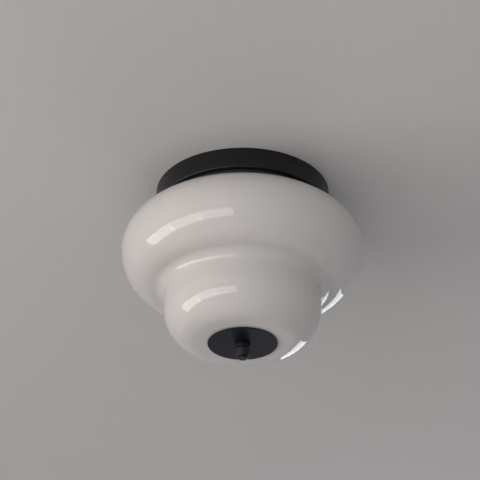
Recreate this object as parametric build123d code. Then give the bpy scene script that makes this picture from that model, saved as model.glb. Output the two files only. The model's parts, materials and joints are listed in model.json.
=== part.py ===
from build123d import *
import math
import os

os.makedirs("parts", exist_ok=True)

# Ceiling light with a stepped opal glass shade, in millimetres.
# The ceiling is the plane z = 0 and the lamp hangs below it, along -Z.

# Ceiling pan, a dish of sheet steel that opens upwards
PAN_RADIUS = 108.5
PAN_HEIGHT = 27.0
PAN_SHEET = 1.2
PAN_BEND = 1.8

# Glass shade, one blown piece: neck, wide belly, waist and narrow lower tier
GLASS_WALL = 3.0
NECK_RADIUS = 86.0
NECK_FILLET = 3.0
NECK_HEIGHT = 7.5
BELLY_RADIUS = 150.0
SHOULDER_FALL = 48.4
BELLY_FALL = 50.8
WAIST_FILLET = 14.0
TIER_RADIUS = 96.1
TIER_STRAIGHT = 16.2
TIER_ROUND_WIDTH = 39.0
TIER_ROUND_FALL = 44.4
GLASS_HOLE_RADIUS = 6.5

# Rubber ring between the pan and the glass neck, its skirt wider than the neck
GASKET_THICKNESS = 1.5
GASKET_MARGIN = 1.5
GASKET_SKIRT = 15.5

# Threaded stem that carries the glass, tube M10 x 1
STEM_RADIUS = 4.9
STEM_BORE_RADIUS = 3.9
STEM_ABOVE_NUT = 2.0
STEM_IN_FINIAL = 12.0
STEM_HOLE_CLEARANCE = 0.3

# Bottom disc with its rubber pad, and the finial
DISC_RADIUS = 42.5
DISC_THICKNESS = 1.2
DISC_EDGE_ROUND = 0.5
PAD_RADIUS = 36.0
PAD_THICKNESS = 0.8
COLLAR_CLEARANCE = 0.4
DISC_HOLE_CLEARANCE = 0.4
FINIAL_FLANGE_RADIUS = 9.2
FINIAL_FLANGE_HEIGHT = 5.0
FINIAL_FLANGE_TOP_ROUND = 0.6
FINIAL_FLANGE_ROUND = 1.0
FINIAL_NECK_RADIUS = 7.9
FINIAL_NECK_HEIGHT = 0.8
FINIAL_NECK_ROUND = 0.3
FINIAL_BODY_RADIUS = 9.6
FINIAL_BODY_ROUND = 1.6
FINIAL_SHOULDER_HEIGHT = 1.8
FINIAL_BODY_HEIGHT = 10.0
FINIAL_FOOT_RADIUS = 7.1
FINIAL_FOOT_ROUND = 0.8
FINIAL_GROOVE_RADIUS = 5.0
FINIAL_GROOVE_HEIGHT = 0.5
FINIAL_BUTTON_RADIUS = 5.9
FINIAL_BUTTON_HEIGHT = 1.6
FINIAL_BUTTON_ROUND = 1.2
FINIAL_BORE_SPARE = 1.0
THREAD_CLEARANCE = 0.1

# Hexagon nuts and washers of the M10 x 1 fittings
M10_NUT_ACROSS_FLATS = 14.0
M10_NUT_HEIGHT = 3.0
M10_WASHER_RADIUS = 9.0
M10_WASHER_THICKNESS = 1.0
NUT_BORE_CLEARANCE = 0.05

# Ceiling crossbar, a steel strap with its ends set down for the stud heads
STRAP_THICKNESS = 1.5
STRAP_WIDTH = 25.0
STRAP_LANDING = 9.0
STRAP_RAMP = 8.0
STRAP_SET_DOWN = 5.0
STRAP_END_MARGIN = 9.0
STRAP_EDGE_ROUND = 3.0
SLOT_SPACING = 65.0
SLOT_LENGTH = 25.0
SLOT_WIDTH = 5.0
CABLE_HOLE_RADIUS = 5.25

# Studs M4 that hang the pan from the crossbar, with lock nuts and knurled nuts
STUD_CLEARANCE = 3.7
M4_RADIUS = 1.95
M4_TAPPED_RADIUS = 2.0
M4_HOLE_RADIUS = 2.4
M4_HEAD_RADIUS = 4.0
M4_HEAD_HEIGHT = 2.6
M4_NUT_ACROSS_FLATS = 7.0
M4_NUT_HEIGHT = 2.4
M4_WASHER_RADIUS = 4.5
M4_WASHER_THICKNESS = 0.8
KNURLED_NUT_RADIUS = 4.8
KNURLED_NUT_HEIGHT = 5.0
KNURL_DEPTH = 0.3
KNURL_COUNT = 24
STUD_PAST_NUT = 1.0

# Lampholders E27, hung from the pan by hollow nipples M10 x 1
HOLDER_COUNT = 3
FIRST_HOLDER_ANGLE = 90.0
HOLDER_RADIUS = 19.5
HOLDER_MOUTH_RADIUS = 18.3
HOLDER_CAP_HEIGHT = 22.0
HOLDER_CAP_WALL = 1.8
HOLDER_COLLAR_RADIUS = 9.0
HOLDER_COLLAR_HEIGHT = 3.5
HOLDER_COLLAR_ROUND = 0.6
HOLDER_COLLAR_HOLLOW = 1.5
HOLDER_DOME_HEIGHT = 5.5
HOLDER_DOME_ROUND = 4.0
HOLDER_DOME_LINING = 2.5
HOLDER_MOUTH_ROUND = 1.5
SOCKET_MOUTH_ROUND = 1.0
NIPPLE_GRIP = 8.0
NIPPLE_RADIUS = 5.0
NIPPLE_BORE_RADIUS = 3.8
NIPPLE_ABOVE_NUT = 2.0
HOLDER_LENGTH = 54.0
SPIGOT_HEIGHT = 4.0
SPIGOT_CLEARANCE = 0.1
SOCKET_RADIUS = 14.6
SOCKET_LEDGE = 0.8
INSERT_HEIGHT = 8.0
INSERT_TOP = 21.0
SCREW_SHELL_WALL = 0.7
SCREW_SHELL_GAP = 0.4
SCREW_SHELL_RECESS = 2.0
CONTACT_LENGTH = 10.0
CONTACT_WIDTH = 4.0
CONTACT_LEAF = 0.6
CONTACT_DOME_RADIUS = 1.9
CONTACT_DOME_ROUND = 0.6
CONTACT_HEIGHT = 1.8

# Lamps with an E27 screw cap and the A60 outline
BULB_RADIUS = 30.0
BULB_LENGTH = 108.7
BULB_NECK_CLEARANCE = 8.0
CONTACT_GAP = 0.3
TIP_RADIUS = 4.6
TIP_HEIGHT = 1.8
TIP_ROUND = 1.2
INSULATOR_HEIGHT = 4.6
INSULATOR_RIM = 0.8
CAP_SHEET = 0.4
CAP_CLEARANCE = 0.6
CAP_SHOULDER = 2.0
CAP_LENGTH = 20.1
HOUSING_WALL = 1.5
HOUSING_NECK_DEPTH = 5.0
HOUSING_STEP = 1.0
HOUSING_LENGTH = 36.0
HOUSING_BULGE_DROP = 14.0
HOUSING_RIM_INSET = 1.6
GLOBE_WALL = 1.2

# Terminal block with three poles, screwed to the floor of the pan
BLOCK_CENTRE_Y = -53.0
BLOCK_LENGTH = 34.0
BLOCK_WIDTH = 18.0
BLOCK_HEIGHT = 13.0
POLE_COUNT = 3
POLE_PITCH = 10.0
POLE_GROOVE = 1.6
POLE_GROOVE_DEPTH = 6.0
BARREL_RADIUS = 2.6
BARREL_BORE_RADIUS = 1.9
BARREL_RECESS = 1.5
BARREL_HEIGHT = 6.0
TERMINAL_SCREW_RADIUS = 1.6
TERMINAL_SCREW_OFFSET = 4.5
TERMINAL_SCREW_RECESS = 1.0
TERMINAL_SCREW_SLOT = 0.6
M3_RADIUS = 1.45
M3_TAPPED_RADIUS = 1.5
M3_HOLE_RADIUS = 1.7
M3_HEAD_RADIUS = 2.0
M3_HEAD_HEIGHT = 1.6
M3_HEAD_CLEARANCE = 0.1
SCREW_PAST_FLOOR = 3.0

# Earth screw and ring terminal on the floor of the pan
EARTH_Y = -17.0
RING_RADIUS = 4.0
RING_THICKNESS = 0.8
RING_TAIL_WIDTH = 3.0
RING_TAIL_LENGTH = 6.0
RING_BARREL_RADIUS = 1.9
RING_BARREL_LENGTH = 6.0

# Internal leads
LEAD_DIAMETER = 2.2
LEAD_PITCH = 2.6
LEAD_STUB = 6.0
LEAD_RAMP = 9.0
LIVE_LEAD_RISE = 12.8
NEUTRAL_LEAD_RISE = 16.3
LEAD_BYPASS_X = 12.0
LEAD_STUB_BEND = 5.5
LEAD_LEVEL_BEND = 5.0
LEAD_BYPASS_BEND = 20.0
LIVE_DROP_BEND = 6.0
NEUTRAL_DROP_BEND = 8.0
EARTH_STUB = 5.0
EARTH_BEND = 5.5

# Heights that follow from the sizes above
floor_top = -PAN_HEIGHT + PAN_SHEET
pan_under = -PAN_HEIGHT
glass_top = pan_under - GASKET_THICKNESS
shoulder_z = glass_top - NECK_HEIGHT
belly_z = shoulder_z - SHOULDER_FALL
belly_under = belly_z - BELLY_FALL
waist_z = belly_under - WAIST_FILLET
tier_z = waist_z - TIER_STRAIGHT
glass_bottom = tier_z - TIER_ROUND_FALL
disc_top = glass_bottom - PAD_THICKNESS
disc_face = disc_top - DISC_THICKNESS
strap_end_top = -STRAP_SET_DOWN
strap_end_under = strap_end_top - STRAP_THICKNESS
block_entry_z = floor_top + BARREL_HEIGHT

# Radii that follow from the sizes above
stem_hole_radius = STEM_RADIUS + STEM_HOLE_CLEARANCE
disc_hole_radius = STEM_RADIUS + DISC_HOLE_CLEARANCE
neck_bore_radius = NECK_RADIUS - GLASS_WALL
gasket_bore_radius = neck_bore_radius - GASKET_MARGIN
holder_pitch_radius = neck_bore_radius - BULB_NECK_CLEARANCE - BULB_RADIUS
screw_shell_radius = SOCKET_RADIUS - SCREW_SHELL_GAP
cap_radius = screw_shell_radius - SCREW_SHELL_WALL - CAP_CLEARANCE
housing_rim_radius = BULB_RADIUS - HOUSING_RIM_INSET

# How far the studs stand from the axis, and where the crossbar is set down for them
stud_offset = gasket_bore_radius - STUD_CLEARANCE - KNURLED_NUT_RADIUS
strap_ramp_end = stud_offset - STRAP_LANDING
strap_ramp_start = strap_ramp_end - STRAP_RAMP

# Where the lampholders hang, and the contact end of each lamp below the pan
holder_angles = [FIRST_HOLDER_ANGLE + 360.0 * k / HOLDER_COUNT for k in range(HOLDER_COUNT)]
holder_centres = [
    (
        holder_pitch_radius * math.cos(math.radians(a)),
        holder_pitch_radius * math.sin(math.radians(a)),
    )
    for a in holder_angles
]
insert_top = pan_under - INSERT_TOP
insert_under = insert_top - INSERT_HEIGHT
bulb_tip_z = insert_under - CONTACT_HEIGHT - CONTACT_GAP


def turned(*corners):
    """A solid turned about Z from corners of (radius, height) or (radius, height, rounding)."""
    points = [(corner[0], corner[1]) for corner in corners]
    rounding = [corner[2] if len(corner) > 2 else 0.0 for corner in corners]
    outline = FilletPolyline(*points, radius=rounding, close=True)
    return revolve(Plane.XZ * make_face(outline), Axis.Z)


def rod(radius, low, high):
    """A plain round rod on the Z axis."""
    return turned((0, low), (radius, low), (radius, high), (0, high))


def ring(inner, outer, low, high):
    """A plain washer or tube on the Z axis."""
    return turned((inner, low), (outer, low), (outer, high), (inner, high))


def hexagon_nut(across_flats, bore, low, height):
    """A hexagon nut with its corners bevelled on both faces."""
    blank = Pos(0, 0, low) * extrude(RegularPolygon(across_flats / 2, 6, major_radius=False), height)
    corner = across_flats / math.sqrt(3)
    flat = across_flats / 2
    bevel = (corner - flat) / 2
    envelope = turned(
        (0, low),
        (flat, low),
        (corner, low + bevel),
        (corner, low + height - bevel),
        (flat, low + height),
        (0, low + height),
    )
    return (blank & envelope) - rod(bore, low - height, low + 2 * height)


def pan_head_screw(radius, head_radius, head_height, seat, end):
    """A screw with a rounded head above its seat and a shank down to its end."""
    head = turned(
        (0, seat),
        (head_radius, seat),
        (head_radius, seat + head_height, head_height / 2),
        (0, seat + head_height),
    )
    slot_width = head_radius / 4
    slot = Pos(0, 0, seat + head_height) * Box(3 * head_radius, slot_width, head_height)
    return (head - slot) + rod(radius, end, seat)


def swept_lead(points, radii):
    """A round wire along straight runs joined by tangent arcs; prints how true its volume is."""
    path = FilletPolyline(*points, radius=radii)
    section = Plane(origin=path @ 0, z_dir=path % 0) * Circle(LEAD_DIAMETER / 2)
    wire = sweep(section, path=path)
    share = wire.volume / (section.area * path.length)
    print("lead length", round(path.length, 1), "radii", radii, "volume share", round(share, 4))
    return wire


def write(node, *solids):
    """Writes one node; several solids in a node are loose copies of one thing."""
    shape = solids[0] if len(solids) == 1 else Compound([s.solid() for s in solids])
    export_step(shape, f"parts/{node}.step")


def at_holder(index, solid):
    """Moves a solid from the lamp's axis to the axis of one lampholder."""
    x, y = holder_centres[index]
    return Pos(x, y, 0) * solid


# Ceiling crossbar
def ceiling_crossbar():
    half_length = stud_offset + STRAP_END_MARGIN
    top = [
        (-half_length, strap_end_top),
        (-strap_ramp_end, strap_end_top),
        (-strap_ramp_start, 0),
        (strap_ramp_start, 0),
        (strap_ramp_end, strap_end_top),
        (half_length, strap_end_top),
    ]
    under = [(x, z - STRAP_THICKNESS) for x, z in reversed(top)]
    profile = Plane.XZ * make_face(Polyline(*top, *under, close=True))
    strap = extrude(profile, STRAP_WIDTH / 2, both=True)
    strap = fillet(strap.edges().filter_by(Axis.Z).group_by(Axis.X)[0], STRAP_EDGE_ROUND)
    strap = fillet(strap.edges().filter_by(Axis.Z).group_by(Axis.X)[-1], STRAP_EDGE_ROUND)
    deep = 4 * STRAP_THICKNESS
    for side in (-1, 1):
        slot = extrude(SlotOverall(SLOT_LENGTH, SLOT_WIDTH), deep, both=True)
        strap -= Pos(side * SLOT_SPACING / 2, 0, 0) * slot
        tapped = rod(M4_TAPPED_RADIUS, strap_end_under - deep, strap_end_top + deep)
        strap -= Pos(side * stud_offset, 0, 0) * tapped
    return strap - rod(CABLE_HOLE_RADIUS, -deep, deep)


# Ceiling pan
def canopy_pan():
    inner = PAN_RADIUS - PAN_SHEET
    pan = turned(
        (stem_hole_radius, pan_under),
        (PAN_RADIUS, pan_under, PAN_BEND),
        (PAN_RADIUS, 0),
        (inner, 0),
        (inner, floor_top, PAN_BEND - PAN_SHEET),
        (stem_hole_radius, floor_top),
    )
    for side in (-1, 1):
        pan -= Pos(side * stud_offset, 0, 0) * rod(M4_HOLE_RADIUS, -2 * PAN_HEIGHT, 0)
    for k in range(HOLDER_COUNT):
        pan -= at_holder(k, rod(NIPPLE_RADIUS + STEM_HOLE_CLEARANCE, -2 * PAN_HEIGHT, 0))
    pan -= Pos(0, EARTH_Y, 0) * rod(M4_TAPPED_RADIUS, -2 * PAN_HEIGHT, 0)
    pan -= Pos(POLE_PITCH / 2, BLOCK_CENTRE_Y, 0) * rod(M3_TAPPED_RADIUS, -2 * PAN_HEIGHT, 0)
    return pan


# Glass shade: two half ellipses over each other, joined by a concave waist
def glass_shade():
    shoulder_r = NECK_RADIUS + NECK_FILLET
    under_r = TIER_RADIUS + WAIST_FILLET
    flat_r = TIER_RADIUS - TIER_ROUND_WIDTH
    neck_arc_z = shoulder_z + NECK_FILLET
    wall = GLASS_WALL
    outside = [
        Line((NECK_RADIUS, glass_top), (NECK_RADIUS, neck_arc_z)),
        CenterArc((shoulder_r, neck_arc_z), NECK_FILLET, 180, 90),
        EllipticalCenterArc(
            (shoulder_r, belly_z), BELLY_RADIUS - shoulder_r, SHOULDER_FALL, 90, arc_size=-90
        ),
        EllipticalCenterArc((under_r, belly_z), BELLY_RADIUS - under_r, BELLY_FALL, 0, arc_size=-90),
        CenterArc((under_r, waist_z), WAIST_FILLET, 90, 90),
        Line((TIER_RADIUS, waist_z), (TIER_RADIUS, tier_z)),
        EllipticalCenterArc((flat_r, tier_z), TIER_ROUND_WIDTH, TIER_ROUND_FALL, 0, arc_size=-90),
        Line((flat_r, glass_bottom), (GLASS_HOLE_RADIUS, glass_bottom)),
    ]
    inside = [
        Line((GLASS_HOLE_RADIUS, glass_bottom + wall), (flat_r, glass_bottom + wall)),
        EllipticalCenterArc(
            (flat_r, tier_z), TIER_ROUND_WIDTH - wall, TIER_ROUND_FALL - wall, -90, arc_size=90
        ),
        Line((TIER_RADIUS - wall, tier_z), (TIER_RADIUS - wall, waist_z)),
        CenterArc((under_r, waist_z), WAIST_FILLET + wall, 180, -90),
        EllipticalCenterArc(
            (under_r, belly_z), BELLY_RADIUS - under_r - wall, BELLY_FALL - wall, -90, arc_size=90
        ),
        EllipticalCenterArc(
            (shoulder_r, belly_z), BELLY_RADIUS - shoulder_r - wall, SHOULDER_FALL - wall, 0, arc_size=90
        ),
        CenterArc((shoulder_r, neck_arc_z), NECK_FILLET + wall, 270, -90),
        Line((neck_bore_radius, neck_arc_z), (neck_bore_radius, glass_top)),
    ]
    rims = [
        Line((GLASS_HOLE_RADIUS, glass_bottom), (GLASS_HOLE_RADIUS, glass_bottom + wall)),
        Line((neck_bore_radius, glass_top), (NECK_RADIUS, glass_top)),
    ]
    return revolve(Plane.XZ * make_face(outside + inside + rims), Axis.Z)


# Rubber ring that the glass neck presses against
def shade_gasket():
    outer = NECK_RADIUS + GASKET_SKIRT
    edge = GASKET_THICKNESS / 3
    return turned(
        (gasket_bore_radius, pan_under),
        (gasket_bore_radius, glass_top, edge),
        (outer, glass_top, edge),
        (outer, pan_under),
    )


# Disc, pad and finial under the glass
def bottom_disc():
    return turned(
        (disc_hole_radius, disc_top),
        (DISC_RADIUS, disc_top),
        (DISC_RADIUS, disc_face, DISC_EDGE_ROUND),
        (disc_hole_radius, disc_face),
    )


def disc_pad():
    collar = GLASS_HOLE_RADIUS - COLLAR_CLEARANCE
    return turned(
        (disc_hole_radius, disc_top),
        (PAD_RADIUS, disc_top),
        (PAD_RADIUS, glass_bottom),
        (collar, glass_bottom),
        (collar, glass_bottom + GLASS_WALL),
        (disc_hole_radius, glass_bottom + GLASS_WALL),
    )


def finial():
    flange_under = disc_face - FINIAL_FLANGE_HEIGHT
    neck_under = flange_under - FINIAL_NECK_HEIGHT
    widest = neck_under - FINIAL_SHOULDER_HEIGHT
    body_under = widest - FINIAL_BODY_HEIGHT
    groove_under = body_under - FINIAL_GROOVE_HEIGHT
    button_under = groove_under - FINIAL_BUTTON_HEIGHT
    bore = STEM_RADIUS + THREAD_CLEARANCE
    bore_end = disc_face - STEM_IN_FINIAL - FINIAL_BORE_SPARE
    return turned(
        (bore, disc_face),
        (FINIAL_FLANGE_RADIUS, disc_face, FINIAL_FLANGE_TOP_ROUND),
        (FINIAL_FLANGE_RADIUS, flange_under, FINIAL_FLANGE_ROUND),
        (FINIAL_NECK_RADIUS, flange_under),
        (FINIAL_NECK_RADIUS, neck_under, FINIAL_NECK_ROUND),
        (FINIAL_BODY_RADIUS, widest, FINIAL_BODY_ROUND),
        (FINIAL_FOOT_RADIUS, body_under, FINIAL_FOOT_ROUND),
        (FINIAL_GROOVE_RADIUS, body_under),
        (FINIAL_GROOVE_RADIUS, groove_under),
        (FINIAL_BUTTON_RADIUS, groove_under),
        (FINIAL_BUTTON_RADIUS, button_under, FINIAL_BUTTON_ROUND),
        (0, button_under),
        (0, bore_end),
        (bore, bore_end),
    )


# Stem with its nuts and washers, above and below the floor of the pan
def stem_pieces():
    washer_top = floor_top + M10_WASHER_THICKNESS
    rod_top = washer_top + M10_NUT_HEIGHT + STEM_ABOVE_NUT
    washer_under = pan_under - M10_WASHER_THICKNESS
    nut_bore = STEM_RADIUS + NUT_BORE_CLEARANCE
    stem = ring(STEM_BORE_RADIUS, STEM_RADIUS, disc_face - STEM_IN_FINIAL, rod_top)
    washers = [
        ring(nut_bore, M10_WASHER_RADIUS, floor_top, washer_top),
        ring(nut_bore, M10_WASHER_RADIUS, washer_under, pan_under),
    ]
    nuts = [
        hexagon_nut(M10_NUT_ACROSS_FLATS, nut_bore, washer_top, M10_NUT_HEIGHT),
        hexagon_nut(M10_NUT_ACROSS_FLATS, nut_bore, washer_under - M10_NUT_HEIGHT, M10_NUT_HEIGHT),
    ]
    return stem, washers, nuts


# Studs, lock nuts, washers and knurled nuts at both ends of the crossbar
def knurled_nut(low):
    """A thumb nut whose rim is cut by a row of flutes."""
    nut = ring(M4_RADIUS + NUT_BORE_CLEARANCE, KNURLED_NUT_RADIUS, low, low + KNURLED_NUT_HEIGHT)
    flute = rod(KNURL_DEPTH, low, low + KNURLED_NUT_HEIGHT)
    flutes = [
        Rot(0, 0, 360.0 * k / KNURL_COUNT) * Pos(KNURLED_NUT_RADIUS, 0, 0) * flute
        for k in range(KNURL_COUNT)
    ]
    return nut - flutes


def stud_pieces():
    washer_under = pan_under - M4_WASHER_THICKNESS
    nut_under = washer_under - KNURLED_NUT_HEIGHT
    bore = M4_RADIUS + NUT_BORE_CLEARANCE
    stud = pan_head_screw(
        M4_RADIUS, M4_HEAD_RADIUS, M4_HEAD_HEIGHT, strap_end_top, nut_under - STUD_PAST_NUT
    )
    lock_nut = hexagon_nut(M4_NUT_ACROSS_FLATS, bore, strap_end_under - M4_NUT_HEIGHT, M4_NUT_HEIGHT)
    washer = ring(bore, M4_WASHER_RADIUS, washer_under, pan_under)
    pieces = [stud, lock_nut, washer, knurled_nut(nut_under)]
    places = [Pos(side * stud_offset, 0, 0) for side in (-1, 1)]
    return [[place * piece for place in places] for piece in pieces]


# Lampholder, drawn on the lamp's axis and moved to its place
def holder_cap():
    collar_under = pan_under - HOLDER_COLLAR_HEIGHT
    dome_under = collar_under - HOLDER_DOME_HEIGHT
    rim = pan_under - HOLDER_CAP_HEIGHT
    grip = pan_under - NIPPLE_GRIP
    bore = NIPPLE_RADIUS + NUT_BORE_CLEARANCE
    inner = HOLDER_RADIUS - HOLDER_CAP_WALL
    return turned(
        (bore, pan_under),
        (HOLDER_COLLAR_RADIUS, pan_under, HOLDER_COLLAR_ROUND),
        (HOLDER_COLLAR_RADIUS, collar_under, HOLDER_COLLAR_HOLLOW),
        (HOLDER_RADIUS, dome_under, HOLDER_DOME_ROUND),
        (HOLDER_RADIUS, rim),
        (inner, rim),
        (inner, dome_under - HOLDER_CAP_WALL / 2, HOLDER_DOME_LINING),
        (HOLDER_COLLAR_RADIUS, grip),
        (bore, grip),
    )


def holder_skirt():
    rim = pan_under - HOLDER_CAP_HEIGHT
    mouth = pan_under - HOLDER_LENGTH
    spigot_top = rim + SPIGOT_HEIGHT
    spigot = HOLDER_RADIUS - HOLDER_CAP_WALL - SPIGOT_CLEARANCE
    seat = SOCKET_RADIUS + SOCKET_LEDGE
    return turned(
        (SOCKET_RADIUS, mouth, SOCKET_MOUTH_ROUND),
        (HOLDER_MOUTH_RADIUS, mouth, HOLDER_MOUTH_ROUND),
        (HOLDER_RADIUS, rim),
        (spigot, rim),
        (spigot, spigot_top),
        (seat, spigot_top),
        (seat, insert_under),
        (SOCKET_RADIUS, insert_under),
    )


def holder_insert():
    return rod(SOCKET_RADIUS + SOCKET_LEDGE - SPIGOT_CLEARANCE, insert_under, insert_top)


def holder_screw_shell():
    low = pan_under - HOLDER_LENGTH + SCREW_SHELL_RECESS
    return ring(screw_shell_radius - SCREW_SHELL_WALL, screw_shell_radius, low, insert_under)


def holder_contact():
    leaf = Pos(0, 0, insert_under - CONTACT_LEAF / 2) * Box(CONTACT_LENGTH, CONTACT_WIDTH, CONTACT_LEAF)
    dome_under = insert_under - CONTACT_HEIGHT
    dome = turned(
        (0, dome_under),
        (CONTACT_DOME_RADIUS, dome_under, CONTACT_DOME_ROUND),
        (CONTACT_DOME_RADIUS, insert_under - CONTACT_LEAF),
        (0, insert_under - CONTACT_LEAF),
    )
    return leaf + dome


def holder_nipple():
    top = floor_top + M10_NUT_HEIGHT + NIPPLE_ABOVE_NUT
    return ring(NIPPLE_BORE_RADIUS, NIPPLE_RADIUS, pan_under - NIPPLE_GRIP, top)


def holder_nut():
    return hexagon_nut(M10_NUT_ACROSS_FLATS, NIPPLE_RADIUS + NUT_BORE_CLEARANCE, floor_top, M10_NUT_HEIGHT)


# Lamp, drawn on the lamp's axis and moved to its lampholder
insulator_top = bulb_tip_z - TIP_HEIGHT
insulator_under = insulator_top - INSULATOR_HEIGHT
cap_under = insulator_under - CAP_LENGTH
housing_rim_z = cap_under - HOUSING_LENGTH
crown_z = bulb_tip_z - BULB_LENGTH
globe_widest_z = crown_z + BULB_RADIUS


def bulb_tip():
    return turned(
        (0, insulator_top),
        (TIP_RADIUS, insulator_top),
        (TIP_RADIUS, bulb_tip_z, TIP_ROUND),
        (0, bulb_tip_z),
    )


def bulb_insulator():
    outer = cap_radius - CAP_SHOULDER
    return turned(
        (0, insulator_top),
        (TIP_RADIUS + CAP_SHEET, insulator_top),
        (outer, insulator_under + INSULATOR_RIM),
        (outer, insulator_under),
        (0, insulator_under),
    )


def bulb_cap():
    outer_top = cap_radius - CAP_SHOULDER
    inner = cap_radius - CAP_SHEET
    flange = outer_top - CAP_SHOULDER
    shoulder = insulator_under - CAP_SHOULDER
    return turned(
        (flange, insulator_under),
        (outer_top, insulator_under),
        (cap_radius, shoulder),
        (cap_radius, cap_under),
        (inner, cap_under),
        (inner, shoulder - CAP_SHEET / 2),
        (outer_top - CAP_SHEET / 2, insulator_under - CAP_SHEET),
        (flange, insulator_under - CAP_SHEET),
    )


def bulb_housing():
    neck = cap_radius - CAP_SHEET
    throat = neck - HOUSING_WALL
    step = cap_radius + HOUSING_STEP
    rim_inner = housing_rim_radius - HOUSING_WALL
    bulge_z = cap_under - HOUSING_BULGE_DROP
    bulge_r = (step + housing_rim_radius) / 2
    flare = Spline((step, cap_under), (bulge_r, bulge_z), (housing_rim_radius, housing_rim_z))
    lining = Spline(
        (rim_inner, housing_rim_z), (bulge_r - HOUSING_WALL, bulge_z), (throat, cap_under)
    )
    straight = Polyline(
        (throat, cap_under),
        (throat, cap_under + HOUSING_NECK_DEPTH),
        (neck, cap_under + HOUSING_NECK_DEPTH),
        (neck, cap_under),
        (step, cap_under),
    )
    rim = Line((housing_rim_radius, housing_rim_z), (rim_inner, housing_rim_z))
    outline = [straight, flare, rim, lining]
    return revolve(Plane.XZ * make_face(outline), Axis.Z)


def bulb_globe():
    rim_inner = housing_rim_radius - GLOBE_WALL
    side_fall = housing_rim_z - globe_widest_z
    outline = [
        side_arc(housing_rim_radius, BULB_RADIUS, side_fall),
        CenterArc((0, globe_widest_z), BULB_RADIUS, 0, -90),
        Line((0, crown_z), (0, crown_z + GLOBE_WALL)),
        CenterArc((0, globe_widest_z), BULB_RADIUS - GLOBE_WALL, -90, 90),
        side_arc(rim_inner, BULB_RADIUS - GLOBE_WALL, side_fall),
        Line((rim_inner, housing_rim_z), (housing_rim_radius, housing_rim_z)),
    ]
    return revolve(Plane.XZ * make_face(outline), Axis.Z)


def side_arc(rim_radius, widest_radius, fall):
    """An arc from the rim out to the widest circle, upright where it ends."""
    step = widest_radius - rim_radius
    radius = (step * step + fall * fall) / (2 * step)
    angle = math.degrees(math.asin(fall / radius))
    return CenterArc((widest_radius - radius, globe_widest_z), radius, 0, angle)


# Terminal block, its brass barrels and screws
pole_centres = [POLE_PITCH * (k - (POLE_COUNT - 1) / 2) for k in range(POLE_COUNT)]


def along_y(radius, x, z, length):
    """A round bar along Y, centred on the terminal block."""
    return Pos(x, BLOCK_CENTRE_Y, z) * Rot(90, 0, 0) * Cylinder(radius, length)


def terminal_block():
    top = floor_top + BLOCK_HEIGHT
    block = Box(BLOCK_LENGTH, BLOCK_WIDTH, BLOCK_HEIGHT)
    block = Pos(0, BLOCK_CENTRE_Y, floor_top + BLOCK_HEIGHT / 2) * block
    for k in range(POLE_COUNT - 1):
        x = (pole_centres[k] + pole_centres[k + 1]) / 2
        block -= Pos(x, BLOCK_CENTRE_Y, top) * Box(POLE_GROOVE, 2 * BLOCK_WIDTH, 2 * POLE_GROOVE_DEPTH)
    for x in pole_centres:
        block -= along_y(BARREL_RADIUS, x, block_entry_z, 2 * BLOCK_WIDTH)
        for side in (-1, 1):
            place = Pos(x, BLOCK_CENTRE_Y + side * TERMINAL_SCREW_OFFSET, 0)
            block -= place * rod(TERMINAL_SCREW_RADIUS + NUT_BORE_CLEARANCE, block_entry_z, 2 * BLOCK_HEIGHT)
    place = Pos(POLE_PITCH / 2, BLOCK_CENTRE_Y, 0)
    block -= place * rod(M3_HOLE_RADIUS, floor_top - BLOCK_HEIGHT, 2 * BLOCK_HEIGHT)
    return block - place * rod(M3_HEAD_RADIUS + M3_HEAD_CLEARANCE, top - POLE_GROOVE_DEPTH, 2 * BLOCK_HEIGHT)


def terminal_barrels():
    length = BLOCK_WIDTH - 2 * BARREL_RECESS
    barrels = []
    for x in pole_centres:
        barrel = along_y(BARREL_RADIUS, x, block_entry_z, length)
        barrel -= along_y(BARREL_BORE_RADIUS, x, block_entry_z, 2 * length)
        for side in (-1, 1):
            place = Pos(x, BLOCK_CENTRE_Y + side * TERMINAL_SCREW_OFFSET, 0)
            barrel -= place * rod(TERMINAL_SCREW_RADIUS + NUT_BORE_CLEARANCE, block_entry_z, 2 * BLOCK_HEIGHT)
        barrels.append(barrel)
    return barrels


def terminal_screws():
    top = floor_top + BLOCK_HEIGHT - TERMINAL_SCREW_RECESS
    screw = rod(TERMINAL_SCREW_RADIUS, block_entry_z, top)
    screw -= Pos(0, 0, top) * Box(4 * TERMINAL_SCREW_RADIUS, TERMINAL_SCREW_SLOT, 2 * TERMINAL_SCREW_SLOT)
    return [
        Pos(x, BLOCK_CENTRE_Y + side * TERMINAL_SCREW_OFFSET, 0) * screw
        for x in pole_centres
        for side in (-1, 1)
    ]


def terminal_block_screw():
    seat = floor_top + BLOCK_HEIGHT - POLE_GROOVE_DEPTH
    end = pan_under - SCREW_PAST_FLOOR
    screw = pan_head_screw(M3_RADIUS, M3_HEAD_RADIUS, M3_HEAD_HEIGHT, seat, end)
    return Pos(POLE_PITCH / 2, BLOCK_CENTRE_Y, 0) * screw


# Earth screw and the ring terminal that it holds down
def earth_screw():
    seat = floor_top + RING_THICKNESS
    screw = pan_head_screw(
        M4_RADIUS, M4_HEAD_RADIUS, M4_HEAD_HEIGHT, seat, pan_under - SCREW_PAST_FLOOR
    )
    return Pos(0, EARTH_Y, 0) * screw


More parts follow.
